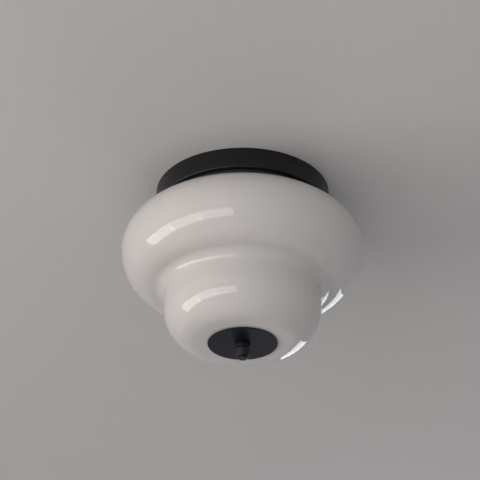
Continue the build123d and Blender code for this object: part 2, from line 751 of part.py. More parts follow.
def earth_ring_terminal():
    plate = ring(M4_TAPPED_RADIUS, RING_RADIUS, floor_top, floor_top + RING_THICKNESS)
    tail_centre = -RING_RADIUS - RING_TAIL_LENGTH / 2 + RING_THICKNESS
    tail = Pos(0, tail_centre, floor_top + RING_THICKNESS / 2) * Box(
        RING_TAIL_WIDTH, RING_TAIL_LENGTH, RING_THICKNESS
    )
    barrel_centre = -RING_RADIUS - RING_TAIL_LENGTH / 2 - RING_BARREL_LENGTH / 2
    barrel = Pos(0, barrel_centre, floor_top + RING_BARREL_RADIUS) * Rot(90, 0, 0) * Cylinder(
        RING_BARREL_RADIUS, RING_BARREL_LENGTH
    )
    return Pos(0, EARTH_Y, 0) * (plate + tail + barrel)


# Leads from the terminal block through the nipples to the lampholder inserts
block_face_y = BLOCK_CENTRE_Y + BLOCK_WIDTH / 2
ramp_end_y = block_face_y + LEAD_STUB + LEAD_RAMP


def holder_lead(start_x, index, level, drop_bend, nearness):
    """One lead; nearness is -1 to drop on the near side of the nipple's axis and 1 on the far side."""
    x, y = holder_centres[index]
    points = [
        (start_x, block_face_y, block_entry_z),
        (start_x, block_face_y + LEAD_STUB, block_entry_z),
        (start_x, ramp_end_y, level),
    ]
    radii = [LEAD_STUB_BEND, LEAD_LEVEL_BEND]
    if abs(x) < LEAD_PITCH:
        side = math.copysign(1.0, start_x)
        points.append((side * LEAD_BYPASS_X, 0, level))
        radii.append(LEAD_BYPASS_BEND)
        end = (side * LEAD_PITCH / 2, y)
    else:
        run = math.hypot(x - start_x, y - ramp_end_y)
        shift = nearness * LEAD_PITCH / 2 / run
        end = (x + shift * (x - start_x), y + shift * (y - ramp_end_y))
    points.append((end[0], end[1], level))
    points.append((end[0], end[1], insert_top))
    return swept_lead(points, radii + [drop_bend])


def live_leads():
    level = floor_top + LIVE_LEAD_RISE
    pole = pole_centres[0]
    starts = [(pole, 0), (pole - LEAD_PITCH, 1), (pole + LEAD_PITCH, 2)]
    return [holder_lead(x, k, level, LIVE_DROP_BEND, -1) for x, k in starts]


def neutral_leads():
    level = floor_top + NEUTRAL_LEAD_RISE
    pole = pole_centres[-1]
    starts = [(pole, 0), (pole - LEAD_PITCH, 1), (pole + LEAD_PITCH, 2)]
    return [holder_lead(x, k, level, NEUTRAL_DROP_BEND, 1) for x, k in starts]


def earth_lead():
    barrel_end = EARTH_Y - RING_RADIUS - RING_TAIL_LENGTH / 2 - RING_BARREL_LENGTH
    barrel_z = floor_top + RING_BARREL_RADIUS
    points = [
        (0, block_face_y, block_entry_z),
        (0, block_face_y + EARTH_STUB, block_entry_z),
        (0, barrel_end - EARTH_STUB, barrel_z),
        (0, barrel_end, barrel_z),
    ]
    return swept_lead(points, [EARTH_BEND, EARTH_BEND])


# Pieces on the lamp's own axis
stem, stem_washers, stem_nuts = stem_pieces()
studs, lock_nuts, pan_washers, pan_nuts = stud_pieces()
write("ceiling_crossbar", ceiling_crossbar())
write("crossbar_studs", *studs)
write("stud_lock_nuts", *lock_nuts)
write("canopy_washers", *pan_washers)
write("canopy_knurled_nuts", *pan_nuts)
write("canopy_pan", canopy_pan())
write("shade_gasket", shade_gasket())
write("glass_shade", glass_shade())
write("stem_rod", stem)
write("stem_washers", *stem_washers)
write("stem_nuts", *stem_nuts)
write("disc_pad", disc_pad())
write("bottom_disc", bottom_disc())
write("finial", finial())

# Lampholders and lamps
write("holder_nipples", *[at_holder(k, holder_nipple()) for k in range(HOLDER_COUNT)])
write("holder_nuts", *[at_holder(k, holder_nut()) for k in range(HOLDER_COUNT)])
holder_makers = {
    "cap": holder_cap,
    "skirt": holder_skirt,
    "insert": holder_insert,
    "screw_shell": holder_screw_shell,
    "contact": holder_contact,
}
bulb_makers = {
    "tip": bulb_tip,
    "insulator": bulb_insulator,
    "cap": bulb_cap,
    "housing": bulb_housing,
    "globe": bulb_globe,
}
for k in range(HOLDER_COUNT):
    for piece, maker in holder_makers.items():
        write(f"lampholder_{k + 1}_{piece}", at_holder(k, maker()))
    for piece, maker in bulb_makers.items():
        write(f"bulb_{k + 1}_{piece}", at_holder(k, maker()))

# Wiring in the pan
write("terminal_block", terminal_block())
write("terminal_barrels", *terminal_barrels())
write("terminal_screws", *terminal_screws())
write("terminal_block_screw", terminal_block_screw())
write("earth_screw", earth_screw())
write("earth_ring_terminal", earth_ring_terminal())
write("live_leads", *live_leads())
write("neutral_leads", *neutral_leads())
write("earth_lead", earth_lead())
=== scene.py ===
import json
import math

import bpy
import numpy as np
from mathutils import Matrix, Vector

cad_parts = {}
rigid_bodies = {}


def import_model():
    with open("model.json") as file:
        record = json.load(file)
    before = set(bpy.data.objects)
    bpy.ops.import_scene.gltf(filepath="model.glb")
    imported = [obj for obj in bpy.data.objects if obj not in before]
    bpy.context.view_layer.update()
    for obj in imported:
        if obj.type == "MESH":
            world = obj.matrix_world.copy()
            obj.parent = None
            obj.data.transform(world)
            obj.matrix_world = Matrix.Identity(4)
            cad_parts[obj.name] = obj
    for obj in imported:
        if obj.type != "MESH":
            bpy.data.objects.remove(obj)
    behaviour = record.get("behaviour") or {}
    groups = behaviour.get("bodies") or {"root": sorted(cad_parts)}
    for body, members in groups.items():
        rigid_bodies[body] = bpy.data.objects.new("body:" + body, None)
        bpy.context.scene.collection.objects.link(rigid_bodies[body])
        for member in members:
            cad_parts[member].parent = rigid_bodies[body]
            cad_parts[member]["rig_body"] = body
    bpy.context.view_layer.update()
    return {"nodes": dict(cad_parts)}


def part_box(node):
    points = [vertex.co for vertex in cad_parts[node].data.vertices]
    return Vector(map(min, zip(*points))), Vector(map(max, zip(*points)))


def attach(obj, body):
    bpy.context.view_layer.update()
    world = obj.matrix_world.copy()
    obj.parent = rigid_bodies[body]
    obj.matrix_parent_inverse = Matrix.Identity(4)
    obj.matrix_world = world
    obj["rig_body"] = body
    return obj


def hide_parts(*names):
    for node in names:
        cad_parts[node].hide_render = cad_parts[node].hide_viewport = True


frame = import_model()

# Looks of the stepped opal ceiling light. Sizes are in millimetres and become metres where a mesh is made.
# The ceiling is the plane z = 0 and the lamp hangs below it.
MM = 0.001
TURN = 2 * math.pi

# Steps round the axis and along a small rounding, and the smallest edge break
WIDE_STEPS = 256
SMALL_STEPS = 96
THREAD_STEPS = 40
ROUNDING_STEPS = 6
EDGE_BREAK = 0.12
GUARD = 0.3

# Photograph: square frame, long lens, seen from below
CAMERA_TARGET = (-3.23, 0.0, -66.6)
CAMERA_DISTANCE = 2400.0
CAMERA_RISE = 0.5251
CAMERA_LENS = 144.698
SENSOR_WIDTH = 36.0


def box_of(node):
    """Lowest and highest corner of a CAD node in millimetres."""
    low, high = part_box(node)
    return np.array(low) / MM, np.array(high) / MM


# Meshes
def unit(vector):
    return vector / np.linalg.norm(vector)


def rounded(*corners):
    """Closed outline through corners (radius, height) or (radius, height, rounding).

    A corner becomes an arc tangent to both of its sides: the centre lies on the bisector at
    rounding / sin(half angle), and the arc's points are the slerp of its two ends about it.
    One guard point on either side keeps flat faces flat up to the arc.
    """
    parts = []
    for k, corner in enumerate(corners):
        here = np.array(corner[:2], float)
        if here[0] == 0:
            parts.append(here[None])
            continue
        rounding = corner[2] if len(corner) > 2 else EDGE_BREAK
        before = np.array(corners[k - 1][:2], float) - here
        after = np.array(corners[(k + 1) % len(corners)][:2], float) - here
        back, ahead = unit(before), unit(after)
        half = math.acos(np.clip(back @ ahead, -1, 1)) / 2
        reach = rounding / math.tan(half)
        centre = here + unit(back + ahead) * rounding / math.sin(half)
        start, end = here + back * reach, here + ahead * reach
        sweep = math.pi - 2 * half
        share = np.linspace(0, 1, ROUNDING_STEPS)[:, None]
        arc = np.sin((1 - share) * sweep) * (start - centre) + np.sin(share * sweep) * (end - centre)
        room = (np.linalg.norm(before) - reach) / 2, (np.linalg.norm(after) - reach) / 2
        parts.append((start + back * min(GUARD, room[0]))[None])
        parts.append(centre + arc / math.sin(sweep))
        parts.append((end + ahead * min(GUARD, room[1]))[None])
    return np.vstack(parts)


def ellipse(centre, width, fall, start, end, steps=24):
    """Points centre + (width cos t, fall sin t) for t from start to end in degrees."""
    t = np.radians(np.linspace(start, end, steps))
    return np.stack([centre[0] + width * np.cos(t), centre[1] + fall * np.sin(t)], axis=1)


def straight(start, end, steps):
    """Evenly spaced points from start to end."""
    return np.linspace(start, end, steps)


def revolved(outline, steps=WIDE_STEPS, relief=None, centre=(0, 0)):
    """Solid of revolution: outline point (radius, height) at angle a lies at
    (radius cos a, radius sin a, height) from the centre. relief(radius, height, a) gives the radius
    of a surface that isn't plain round. An outline that touches the axis closes in two poles.
    """
    r, z = outline.T
    if np.sum(r * np.roll(z, -1) - np.roll(r, -1) * z) < 0:
        outline = outline[::-1]
    on_axis = np.flatnonzero(outline[:, 0] < 1e-9)
    if len(on_axis):
        low = on_axis[np.argmin(outline[on_axis, 1])]
        outline = np.roll(outline, -low, axis=0)
        poles = outline[[0, -1], 1]
        outline = outline[1:-1]
    radius, height = outline[:, :1], outline[:, 1:]
    angle = np.arange(steps)[None] * TURN / steps
    if relief is not None:
        radius = relief(radius, height, angle)
    grid = np.stack(np.broadcast_arrays(radius * np.cos(angle), radius * np.sin(angle), height), axis=2)
    rows = len(outline)
    here = np.arange(rows * steps).reshape(rows, steps)
    beside = np.roll(here, -1, axis=1)
    if not len(on_axis):
        above, above_beside = np.roll(here, -1, axis=0), np.roll(beside, -1, axis=0)
        faces = [np.stack([here, beside, above_beside, above], axis=2).reshape(-1, 4)]
        points = grid.reshape(-1, 3)
    else:
        quads = np.stack([here[:-1], beside[:-1], beside[1:], here[1:]], axis=2).reshape(-1, 4)
        ends = np.array([[0, 0, poles[0]], [0, 0, poles[1]]])
        points = np.vstack([grid.reshape(-1, 3), ends])
        low_pole = np.full(steps, rows * steps)
        high_pole = low_pole + 1
        faces = [
            quads,
            np.stack([low_pole, beside[0], here[0]], axis=1),
            np.stack([high_pole, here[-1], beside[-1]], axis=1),
        ]
    return points + np.array([centre[0], centre[1], 0.0]), faces


def mesh_of(name, *solids):
    """One smooth mesh in metres from solids of (points, [faces, ...])."""
    points, loops, totals, base = [], [], [], 0
    for solid_points, groups in solids:
        points.append(solid_points)
        for faces in groups:
            loops.append((faces + base).ravel())
            totals.append(np.full(len(faces), faces.shape[1]))
        base += len(solid_points)
    points, loops, totals = np.vstack(points) * MM, np.concatenate(loops), np.concatenate(totals)
    mesh = bpy.data.meshes.new(name)
    mesh.vertices.add(len(points))
    mesh.vertices.foreach_set("co", points.ravel())
    mesh.loops.add(len(loops))
    mesh.loops.foreach_set("vertex_index", loops)
    mesh.polygons.add(len(totals))
    mesh.polygons.foreach_set("loop_start", np.concatenate([[0], np.cumsum(totals)[:-1]]))
    mesh.polygons.foreach_set("use_smooth", np.ones(len(totals), bool))
    mesh.update(calc_edges=True)
    mesh.validate()
    return mesh


def placed(name, mesh, finish):
    """A new object at the origin with one finish."""
    thing = bpy.data.objects.new(name, mesh)
    bpy.context.scene.collection.objects.link(thing)
    mesh.materials.append(finish)
    return thing


def stand_in(name, node, *solids, coat=None):
    """A finer piece that stands for a CAD node, on its body and with its finish."""
    thing = placed(name, mesh_of(name, *solids), finishes[coat or slots[node]])
    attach(thing, frame["nodes"][node]["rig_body"])
    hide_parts(node)


# Node trees
def add(tree, kind, inputs=None, **settings):
    """A node with its settings, its input values and its incoming links."""
    made = tree.nodes.new(kind)
    for key, value in settings.items():
        setattr(made, key, value)
    for key, value in (inputs or {}).items():
        socket = made.inputs[key]
        if isinstance(value, bpy.types.NodeSocket):
            tree.links.new(value, socket)
        else:
            socket.default_value = value
    return made


def noise(tree, scale, detail=2.0, roughness=0.5, vector=None):
    """Noise on object coordinates, scale in waves per metre."""
    if vector is None:
        vector = add(tree, "ShaderNodeTexCoord").outputs["Object"]
    inputs = {"Vector": vector, "Scale": scale, "Detail": detail, "Roughness": roughness}
    return add(tree, "ShaderNodeTexNoise", inputs).outputs["Fac"]


def spread(tree, value, low, high, to_low=0.0, to_high=1.0):
    """value from low..high spread over to_low..to_high, held at both ends."""
    inputs = {"Value": value, "From Min": low, "From Max": high, "To Min": to_low, "To Max": to_high}
    return add(tree, "ShaderNodeMapRange", inputs).outputs["Result"]


def times(tree, a, b):
    return add(tree, "ShaderNodeMath", {0: a, 1: b}, operation="MULTIPLY").outputs[0]


def plus(tree, a, b):
    return add(tree, "ShaderNodeMath", {0: a, 1: b}, operation="ADD").outputs[0]


def blended(tree, factor, first, second):
    """Colour from first to second as factor goes from 0 to 1."""
    return add(tree, "ShaderNodeMix", {0: factor, 6: first, 7: second}, data_type="RGBA").outputs[2]


def group(name, inputs, outputs):
    """An empty node group with float sockets; returns the group, its tree inputs and its output node."""
    tree = bpy.data.node_groups.new(name, "ShaderNodeTree")
    for label in inputs:
        tree.interface.new_socket(label, in_out="INPUT", socket_type="NodeSocketFloat")
    for label in outputs:
        tree.interface.new_socket(label, in_out="OUTPUT", socket_type="NodeSocketFloat")
    source = tree.nodes.new("NodeGroupInput").outputs
    target = tree.nodes.new("NodeGroupOutput").inputs
    return tree, source, target


def uneven_tone():
    """Slow drift of tone over a surface, with finer mottling in it."""
    tree, source, target = group("uneven tone", ["Scale"], ["Mask"])
    slow = noise(tree, source["Scale"], 3.0)
    fine = noise(tree, times(tree, source["Scale"], 7.0), 2.0)
    tree.links.new(plus(tree, times(tree, slow, 0.7), times(tree, fine, 0.3)), target["Mask"])
    return tree


def handling_marks():
    """Patches where hands and cloths have dulled or polished a surface."""
    tree, source, target = group("handling marks", ["Scale"], ["Mask"])
    patches = spread(tree, noise(tree, source["Scale"], 4.0, 0.6), 0.38, 0.68)
    streaks = noise(tree, times(tree, source["Scale"], 9.0), 3.0, 0.7)
    tree.links.new(times(tree, patches, spread(tree, streaks, 0.3, 0.7, 0.35, 1.0)), target["Mask"])
    return tree


def settled_dust():
    """Dust that lies thicker the more a face looks up, broken by noise."""
    tree, source, target = group("settled dust", ["Amount"], ["Mask"])
    normal = add(tree, "ShaderNodeNewGeometry").outputs["Normal"]
    up = add(tree, "ShaderNodeSeparateXYZ", {"Vector": normal}).outputs["Z"]
    lying = spread(tree, up, 0.25, 1.0)
    broken = spread(tree, noise(tree, 260.0, 5.0, 0.7), 0.3, 0.75, 0.35, 1.0)
    tree.links.new(times(tree, times(tree, lying, broken), source["Amount"]), target["Mask"])
    return tree


def surface_grain():
    """Fine relief of a coat or moulding: a soft wave and a finer one on it."""
    tree, source, target = group("surface grain", ["Scale"], ["Height"])
    soft = noise(tree, source["Scale"], 1.0)
    fine = noise(tree, times(tree, source["Scale"], 2.7), 2.0)
    tree.links.new(plus(tree, times(tree, soft, 0.7), times(tree, fine, 0.3)), target["Height"])
    return tree


def placed_group(tree, made, **inputs):
    node = tree.nodes.new("ShaderNodeGroup")
    node.node_tree = made
    for key, value in inputs.items():
        node.inputs[key].default_value = value
    return node.outputs[0]


DUST = (0.36, 0.34, 0.31, 1)


def colour(red, green, blue):
    return (red, green, blue, 1)


def finish(
    name, tone, second, rough, metallic=0.0, tone_scale=30.0, grain=(900.0, 0.01), dust=0.35, **sockets
):
    """A finish: two close tones drifting into each other, roughness between two values by handling
    marks, dust on upward faces and a fine relief. sockets are constants of the shader itself.
    """
    material = bpy.data.materials.new(name)
    material.use_nodes = True
    tree = material.node_tree
    shader = tree.nodes["Principled BSDF"]
    drift = spread(tree, placed_group(tree, shared["tone"], Scale=tone_scale), 0.35, 0.65)
    marks = placed_group(tree, shared["marks"], Scale=tone_scale)
    dusty = placed_group(tree, shared["dust"], Amount=dust)
    clean = blended(tree, drift, colour(*tone), colour(*second))
    tree.links.new(blended(tree, dusty, clean, DUST), shader.inputs["Base Color"])
    gloss = spread(tree, marks, 0.0, 1.0, rough[0], rough[1])
    tree.links.new(plus(tree, gloss, times(tree, dusty, 0.4)), shader.inputs["Roughness"])
    relief = placed_group(tree, shared["grain"], Scale=grain[0])
    bump = add(tree, "ShaderNodeBump", {"Height": relief, "Strength": 1.0, "Distance": grain[1] * MM})
    tree.links.new(bump.outputs["Normal"], shader.inputs["Normal"])
    shader.inputs["Metallic"].default_value = metallic
    for key, value in sockets.items():
        shader.inputs[key.replace("_", " ")].default_value = value
    return material


def opal_glass():
    """Milk-white blown glass: polished, a little translucent, with the slow ripple of blown work."""
    material = bpy.data.materials.new("opal_glass_blown")
    material.use_nodes = True
    tree = material.node_tree
    shader = tree.nodes["Principled BSDF"]
    drift = spread(tree, placed_group(tree, shared["tone"], Scale=9.0), 0.35, 0.65)
    dusty = placed_group(tree, shared["dust"], Amount=0.3)
    milk = blended(tree, drift, colour(0.622, 0.602, 0.573), colour(0.642, 0.621, 0.592))
    tree.links.new(blended(tree, dusty, milk, DUST), shader.inputs["Base Color"])
    marks = placed_group(tree, shared["marks"], Scale=11.0)
    gloss = spread(tree, marks, 0.0, 1.0, 0.008, 0.03)
    tree.links.new(plus(tree, gloss, times(tree, dusty, 0.5)), shader.inputs["Roughness"])
    coordinates = add(tree, "ShaderNodeTexCoord").outputs["Object"]
    slow = noise(tree, 13.0, 1.0, 0.4, coordinates)
    ripple = noise(tree, 70.0, 1.0, 0.4, coordinates)
    height = plus(tree, slow, times(tree, ripple, 0.03))
    bump = add(tree, "ShaderNodeBump", {"Height": height, "Strength": 1.0, "Distance": 0.45 * MM})
    tree.links.new(bump.outputs["Normal"], shader.inputs["Normal"])
    shader.inputs["IOR"].default_value = 1.5
    shader.inputs["Subsurface Weight"].default_value = 0.2
    shader.inputs["Subsurface Radius"].default_value = (1.0, 0.9, 0.8)
    shader.inputs["Subsurface Scale"].default_value = 0.004
    return material


def striped_insulation():
    """Green insulation with two yellow stripes that run along the lead."""
    material = finish("earth_insulation", (0.03, 0.22, 0.05), (0.035, 0.25, 0.06), (0.3, 0.42))
    tree = material.node_tree
    shader = tree.nodes["Principled BSDF"]
    normal = add(tree, "ShaderNodeNewGeometry").outputs["Normal"]
    across = add(tree, "ShaderNodeSeparateXYZ", {"Vector": normal}).outputs["X"]
    side = add(tree, "ShaderNodeMath", {0: across}, operation="ABSOLUTE").outputs[0]
    stripe = spread(tree, side, 0.66, 0.72)
    green = shader.inputs["Base Color"].links[0].from_socket
    tree.links.new(blended(tree, stripe, green, colour(0.62, 0.48, 0.02)), shader.inputs["Base Color"])
    return material


shared = {"tone": uneven_tone(), "marks": handling_marks(), "dust": settled_dust(), "grain": surface_grain()}
slots = {name: node.material_slots[0].material.name for name, node in frame["nodes"].items()}
finishes = {
    "opal_glass": opal_glass(),
    "black_paint": finish(
        "black_powder_coat",
        (0.0050, 0.0050, 0.0058),
        (0.0065, 0.0065, 0.0074),
        (0.34, 0.46),
        grain=(700.0, 0.012),
        Specular_IOR_Level=0.4,
    ),
    # The disc's coat is the pan's black paint made darker and bluer: painted shade and a painted cool
    # reflection on the downward-facing disc.
    "black_disc_painted_blue_shade": finish(
        "black_disc_painted_blue_shade",
        (0.0032, 0.0040, 0.0085),
        (0.0042, 0.0052, 0.0102),
        (0.38, 0.48),
        grain=(900.0, 0.008),
        Specular_IOR_Level=0.22,
    ),
    "zinc_steel": finish(
        "zinc_plated_steel", (0.50, 0.51, 0.52), (0.62, 0.62, 0.60), (0.28, 0.5), 1.0, 60.0, (1600.0, 0.006)
    ),
    "nickel_brass": finish(
        "nickel_plated_brass",
        (0.60, 0.58, 0.54),
        (0.66, 0.645, 0.61),
        (0.16, 0.34),
        1.0,
        90.0,
        (2400.0, 0.004),
    ),
    "brass": finish(
        "plain_brass", (0.62, 0.43, 0.18), (0.70, 0.50, 0.23), (0.22, 0.42), 1.0, 90.0, (2400.0, 0.004)
    ),
    "black_rubber": finish(
        "black_rubber_moulded", (0.020, 0.020, 0.020), (0.030, 0.029, 0.028), (0.6, 0.8), grain=(1800.0, 0.02)
    ),
    "black_thermoplastic": finish(
        "black_moulding", (0.014, 0.014, 0.015), (0.019, 0.018, 0.018), (0.3, 0.48), grain=(1400.0, 0.01)
    ),
    "white_ceramic": finish(
        "white_steatite", (0.74, 0.72, 0.67), (0.80, 0.78, 0.74), (0.35, 0.55), grain=(2200.0, 0.01)
    ),
    "tin_solder": finish(
        "tin_solder_bead", (0.55, 0.55, 0.56), (0.68, 0.68, 0.68), (0.25, 0.5), 1.0, 200.0, (3000.0, 0.02)
    ),
    "black_insulator": finish(
        "black_glass_insulator", (0.010, 0.010, 0.012), (0.014, 0.013, 0.016), (0.08, 0.2), tone_scale=120.0
    ),
    "white_housing": finish(
        "white_lamp_housing", (0.78, 0.78, 0.77), (0.82, 0.82, 0.81), (0.38, 0.5), grain=(1500.0, 0.008)
    ),
    "frosted_diffuser": finish(
        "milky_lamp_globe",
        (0.80, 0.80, 0.79),
        (0.84, 0.84, 0.83),
        (0.42, 0.52),
        grain=(2400.0, 0.006),
        Subsurface_Weight=0.3,
        Subsurface_Scale=0.006,
    ),
    "white_nylon": finish(
        "white_nylon_block", (0.72, 0.71, 0.66), (0.78, 0.77, 0.73), (0.35, 0.5), grain=(1500.0, 0.015)
    ),
    "brown_insulation": finish("brown_insulation", (0.11, 0.042, 0.018), (0.13, 0.052, 0.022), (0.3, 0.42)),
    "blue_insulation": finish("blue_insulation", (0.03, 0.10, 0.36), (0.035, 0.12, 0.40), (0.3, 0.42)),
    "green_yellow_insulation": striped_insulation(),
}
for node_name, node in frame["nodes"].items():
    node.material_slots[0].material = finishes[slots[node_name]]


# Sizes of the pieces, as the CAD source has them
GLASS_WALL = 3.0
NECK_RADIUS = 86.0
NECK_FILLET = 3.0
NECK_HEIGHT = 7.5
SHOULDER_FALL = 48.4
BELLY_FALL = 50.8
WAIST_FILLET = 14.0
TIER_RADIUS = 96.1
TIER_ROUND_WIDTH = 39.0
TIER_ROUND_FALL = 44.4
GLASS_HOLE_RADIUS = 6.5
RIM_ROUND = 1.1


def quarter(centre, start):
    """Quarter circle of a glass rim from the start angle on."""
    return ellipse(centre, RIM_ROUND, RIM_ROUND, start, start + 90, 7)


def shade():
    """Blown shade: neck, two quarter ellipses of belly, waist arc, tier wall and quarter ellipse, then
    the same curves one wall thickness in. Its rims are half circles, as fire polishing leaves them.
    """
    low, high = box_of("glass_shade")
    top, bottom, belly_r = high[2], low[2], high[0]
    belly_z = top - NECK_HEIGHT - SHOULDER_FALL
    neck_z = top - NECK_HEIGHT + NECK_FILLET
    waist_z = belly_z - BELLY_FALL - WAIST_FILLET
    tier_z = bottom + TIER_ROUND_FALL
    shoulder_r = NECK_RADIUS + NECK_FILLET
    under_r = TIER_RADIUS + WAIST_FILLET
    flat_r = TIER_RADIUS - TIER_ROUND_WIDTH
    wall = GLASS_WALL
    outside = [
        straight((GLASS_HOLE_RADIUS + RIM_ROUND, bottom), (flat_r, bottom), 14)[:-1],
        ellipse((flat_r, tier_z), TIER_ROUND_WIDTH, TIER_ROUND_FALL, -90, 0, 36),
        straight((TIER_RADIUS, tier_z), (TIER_RADIUS, waist_z), 6)[1:-1],
        ellipse((under_r, waist_z), WAIST_FILLET, WAIST_FILLET, 180, 90, 16),
        ellipse((under_r, belly_z), belly_r - under_r, BELLY_FALL, -90, 0, 36)[1:],
        ellipse((shoulder_r, belly_z), belly_r - shoulder_r, SHOULDER_FALL, 0, 90, 40)[1:],
        ellipse((shoulder_r, neck_z), NECK_FILLET, NECK_FILLET, 270, 180, 8)[1:],
    ]
    inside = [
        ellipse((shoulder_r, neck_z), NECK_FILLET + wall, NECK_FILLET + wall, 180, 270, 8)[:-1],
        ellipse((shoulder_r, belly_z), belly_r - shoulder_r - wall, SHOULDER_FALL - wall, 90, 0, 40)[:-1],
        ellipse((under_r, belly_z), belly_r - under_r - wall, BELLY_FALL - wall, 0, -90, 36)[:-1],
        ellipse((under_r, waist_z), WAIST_FILLET + wall, WAIST_FILLET + wall, 90, 180, 16),
        straight((TIER_RADIUS - wall, waist_z), (TIER_RADIUS - wall, tier_z), 6)[1:-1],
        ellipse((flat_r, tier_z), TIER_ROUND_WIDTH - wall, TIER_ROUND_FALL - wall, 0, -90, 36),
        straight((flat_r, bottom + wall), (GLASS_HOLE_RADIUS + RIM_ROUND, bottom + wall), 14)[1:],
    ]
    neck_rim = np.vstack([
        quarter((NECK_RADIUS - RIM_ROUND, top - RIM_ROUND), 0),
        quarter((NECK_RADIUS - wall + RIM_ROUND, top - RIM_ROUND), 90),
    ])
    hole_rim = np.vstack([
        quarter((GLASS_HOLE_RADIUS + RIM_ROUND, bottom + wall - RIM_ROUND), 90)[1:],
        quarter((GLASS_HOLE_RADIUS + RIM_ROUND, bottom + RIM_ROUND), 180)[:-1],
    ])
    outline = np.vstack(outside + [neck_rim] + inside + [hole_rim])
    stand_in("blown_shade", "glass_shade", revolved(outline))


def lathe(name, node, *corners, coat=None):
    """A turned or moulded ring whose corners are rounded, in place of a CAD node."""
    stand_in(name, node, revolved(rounded(*corners)), coat=coat)


def screw_thread(crest, pitch, depth, low, high, runout):
    """Right-hand V thread: the radius falls by depth x a triangle wave of height / pitch - turn,
    and the wave fades out over the runout at both ends.
    """

    def cut(radius, height, angle):
        phase = (height / pitch - angle / TURN) % 1
        fade = np.clip(np.minimum(height - low, high - height) / runout, 0, 1)
        on_crest = np.abs(radius - crest) < ON_FACE
        return radius - depth * (1 - np.abs(2 * phase - 1)) * fade * on_crest

    return cut


def rolled_thread(depth, low, high, least):
    """Right-hand round thread of thin sheet: both faces fall by depth x half a cosine wave."""

    def cut(radius, height, angle):
        phase = height / LAMP_PITCH - angle / TURN
        fade = np.clip(np.minimum(height - low, high - height) / THREAD_FADE, 0, 1)
        return radius - depth * (0.5 + 0.5 * np.cos(TURN * phase)) * fade * (radius > least)

    return cut


def ribs(count, depth, low, high, least):
    """Upright ribs: the outer face falls by depth x half a cosine of count waves a turn."""

    def cut(radius, height, angle):
        fade = np.clip(np.minimum(height - low, high - height) / RIB_FADE, 0, 1)
        return radius - depth * (0.5 + 0.5 * np.cos(count * angle)) ** 2 * fade * (radius > least)

    return cut


def threaded_tube(outer, bore, pitch, depth, low, high, centre):
    """Tube with a V thread all along its outside, its ends bevelled by the depth of the thread."""
    rows = int((high - low) / pitch * THREAD_ROWS)
    outline = np.vstack([
        [(bore, low), (outer - depth, low)],
        straight((outer, low + depth), (outer, high - depth), rows),
        [(outer - depth, high), (bore, high)],
    ])
    relief = screw_thread(outer, pitch, depth, low + depth, high - depth, 2 * pitch)
    return revolved(outline, THREAD_STEPS, relief, centre)


STEM_BORE_RADIUS = 3.9
NIPPLE_BORE_RADIUS = 3.8
M10_PITCH = 1.0
M10_THREAD_DEPTH = 0.55
THREAD_ROWS = 6
LAMP_PITCH = 3.629
THREAD_FADE = 1.5
ON_FACE = 0.02
DISC_BORE = 5.3
DISC_EDGE_ROUND = 0.5
PAD_COLLAR_RADIUS = 6.1
GASKET_BORE = 81.5
HOLDER_PITCH_RADIUS = 45.0
HOLDER_ANGLES = (90.0, 210.0, 330.0)
HOLDER_CAP_WALL = 1.8
HOLDER_BORE = 5.05
HOLDER_COLLAR_RADIUS = 9.0
HOLDER_COLLAR_HEIGHT = 3.5
HOLDER_DOME_HEIGHT = 9.0
HOLDER_COLLAR_DEPTH = 8.0
RIB_COUNT = 40
RIB_STEPS = 240
RIB_DEPTH = 0.35
RIB_FADE = 1.2
SCREW_SHELL_WALL = 0.7
SHELL_THREAD_DEPTH = 0.45
SHELL_PLAIN_END = 0.5
SHELL_ROWS = 60
CAP_SHEET = 0.4
CAP_CRIMP = 5.4
CAP_SHOULDER = 2.0
CAP_THREAD_DEPTH = 0.85
CAP_ROWS = 64
FINIAL_BORE = 5.0
FINIAL_BORE_DEPTH = 13.0
FINIAL_FLANGE_RADIUS = 9.2
FINIAL_FLANGE_HEIGHT = 5.0
FINIAL_NECK_RADIUS = 7.9
FINIAL_BODY_RADIUS = 9.6
FINIAL_BODY_FOOT_RADIUS = 7.1
FINIAL_GROOVE_RADIUS = 5.0
FINIAL_BUTTON_RADIUS = 5.9


def disc_and_pad():
    """Pressed disc with a rolled edge, and the rubber pad with its collar through the glass."""
    low, high = box_of("bottom_disc")
    edge, top, face = high[0], high[2], low[2]
    lathe(
        "pressed_disc",
        "bottom_disc",
        (DISC_BORE, top, 0.2),
        (edge, top, 0.3),
        (edge, face, DISC_EDGE_ROUND),
        (DISC_BORE, face, 0.3),
        # coat with painted shade and a painted cool reflection, darker and bluer than the pan's black paint
        coat="black_disc_painted_blue_shade",
    )
    low, high = box_of("disc_pad")
    seat = box_of("glass_shade")[0][2]
    lathe(
        "moulded_disc_pad",
        "disc_pad",
        (DISC_BORE, low[2]),
        (high[0], low[2], 0.25),
        (high[0], seat, 0.25),
        (PAD_COLLAR_RADIUS, seat),
        (PAD_COLLAR_RADIUS, high[2], 0.3),
        (DISC_BORE, high[2], 0.3),
    )


def gasket():
    """Rubber ring with a rounded rim under the pan."""
    low, high = box_of("shade_gasket")
    lathe(
        "moulded_gasket",
        "shade_gasket",
        (GASKET_BORE, high[2]),
        (GASKET_BORE, low[2], 0.6),
        (high[0], low[2], 0.6),
        (high[0], high[2], 0.2),
    )


